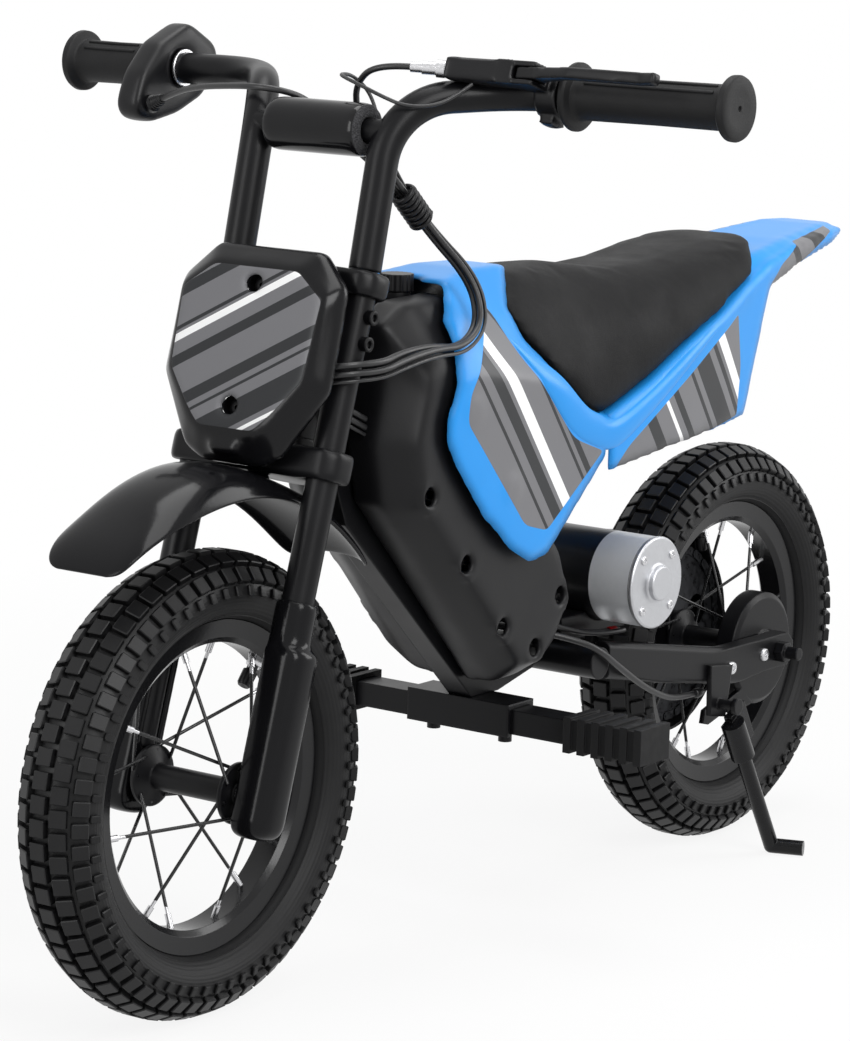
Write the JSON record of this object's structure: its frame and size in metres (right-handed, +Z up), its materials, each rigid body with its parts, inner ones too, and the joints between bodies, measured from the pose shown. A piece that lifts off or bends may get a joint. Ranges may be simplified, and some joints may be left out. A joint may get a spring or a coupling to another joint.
{
  "type": "kids electric motorbike",
  "caption": "Small electric dirt bike with knobbly spoked wheels, steering fork, chain-driven hub sprocket, bodywork, saddle, foot pegs, twist throttle, brake lever and side stand.",
  "frame": {"origin": "on the ground in the mid-plane, half way between the two axles", "axes": "+X forward, +Y to the rider's left, +Z up"},
  "size_m": [0.964, 0.5626, 0.6484],
  "materials": {
    "tyre_rubber": "matt black moulded rubber",
    "black_metal": "satin black powder coat",
    "bright_steel": "bright zinc-plated steel",
    "cast_aluminium": "bare cast aluminium",
    "blue_plastic": "glossy sky-blue moulding",
    "gloss_black": "glossy black moulding",
    "matte_black": "matt black moulding",
    "seat_vinyl": "grained black vinyl cover",
    "soft_rubber": "soft black rubber",
    "cable_black": "black cable sheath",
    "battery_blue": "shrink-wrapped battery sleeve"
  },
  "bodies": {
    "chassis": {"main_frame": "black_metal", "headset_cups": "black_metal", "rear_stays": "black_metal", "motor_mount": "black_metal", "peg_bar": "black_metal", "peg_clamp": "black_metal", "peg_rubbers": "soft_rubber", "housing_left": "matte_black", "housing_right": "matte_black", "battery_pack": "battery_blue", "controller": "matte_black", "charge_socket": "matte_black", "housing_screws": "bright_steel", "front_fairing": "blue_plastic", "tail_fairing": "blue_plastic", "seat_pad": "seat_vinyl", "motor_can": "black_metal", "motor_cap": "cast_aluminium", "motor_leads": "cable_black", "brake_cover": "matte_black", "rear_brake_cable": "cable_black", "kickstand_bracket": "black_metal", "chain_guard": "matte_black", "rear_axle": "bright_steel", "drive_chain": "bright_steel"},
    "motor_rotor": {"motor_pinion": "bright_steel"},
    "rear_wheel": {"rear_tyre": "tyre_rubber", "rear_rim": "black_metal", "rear_hub": "black_metal", "rear_spokes": "bright_steel", "rear_sprocket": "bright_steel", "brake_drum": "bright_steel"},
    "brake_arm": {"brake_arm": "bright_steel"},
    "kickstand": {"kickstand_leg": "black_metal"},
    "fork": {"lower_clamp": "black_metal", "upper_clamp": "black_metal", "fork_tubes": "black_metal", "fork_cover_left": "gloss_black", "fork_cover_right": "gloss_black", "front_axle": "bright_steel", "front_fender": "gloss_black", "number_plate": "gloss_black", "handlebar": "black_metal", "crossbar_pad": "soft_rubber", "grip_left": "soft_rubber", "lever_perch": "black_metal", "barrel_adjuster": "cast_aluminium", "throttle_housing": "matte_black", "clamp_bolts": "bright_steel", "brake_cable": "cable_black", "throttle_wire": "cable_black", "switch_wire": "cable_black", "cable_wrap": "cable_black"},
    "brake_lever": {"brake_lever": "gloss_black"},
    "throttle": {"throttle_grip": "soft_rubber"},
    "front_wheel": {"front_tyre": "tyre_rubber", "front_rim": "black_metal", "front_hub": "black_metal", "front_spokes": "bright_steel"},
    "charge_cap": {"charge_cap": "matte_black"}
  },
  "joints": [
    {"name": "steering", "type": "hinge", "parent": "chassis", "child": "fork", "pos_m": [0.29667, 0, 0.15048], "axis": [-0.2865, 0, 0.9581], "range_deg": [-30, 30], "deforming": ["brake_cable", "throttle_wire", "switch_wire"]},
    {"name": "front_wheel_spin", "type": "hinge", "parent": "fork", "child": "front_wheel", "pos_m": [0.3235, 0, 0.1585], "axis": [0, 1, 0], "continuous": true},
    {"name": "rear_wheel_spin", "type": "hinge", "parent": "chassis", "child": "rear_wheel", "pos_m": [-0.3235, 0, 0.1585], "axis": [0, 1, 0], "continuous": true, "deforming": ["drive_chain"]},
    {"name": "motor_spin", "type": "hinge", "parent": "chassis", "child": "motor_rotor", "pos_m": [-0.11736, 0, 0.24431], "axis": [0, 1, 0], "continuous": true, "deforming": ["drive_chain"]},
    {"name": "throttle_twist", "type": "hinge", "parent": "fork", "child": "throttle", "pos_m": [0.12582, 0, 0.61709], "axis": [0, -1, 0], "range_deg": [0, 60], "stiffness_Nm_per_rad": 0.3},
    {"name": "brake_lever_pull", "type": "hinge", "parent": "fork", "child": "brake_lever", "pos_m": [0.15092, 0.133, 0.63086], "axis": [-0.2865, 0, 0.9581], "range_deg": [0, 9], "stiffness_Nm_per_rad": 1},
    {"name": "brake_arm_swing", "type": "hinge", "parent": "chassis", "child": "brake_arm", "pos_m": [-0.2815, 0.0436, 0.1215], "axis": [0, -1, 0], "range_deg": [0, 9]},
    {"name": "kickstand_fold", "type": "hinge", "parent": "chassis", "child": "kickstand", "pos_m": [-0.23, 0.0758, 0.132], "axis": [0, 1, 0], "range_deg": [0, 58]},
    {"name": "charge_cap_turn", "type": "hinge", "parent": "chassis", "child": "charge_cap", "pos_m": [0.112, 0, 0.473], "axis": [0, 0, 1], "range_deg": [0, 90]}
  ],
  "couplings": [
    {"joint": "motor_spin", "follows": "rear_wheel_spin", "ratio": 4.9091},
    {"joint": "brake_arm_swing", "follows": "brake_lever_pull", "ratio": 1}
  ]
}
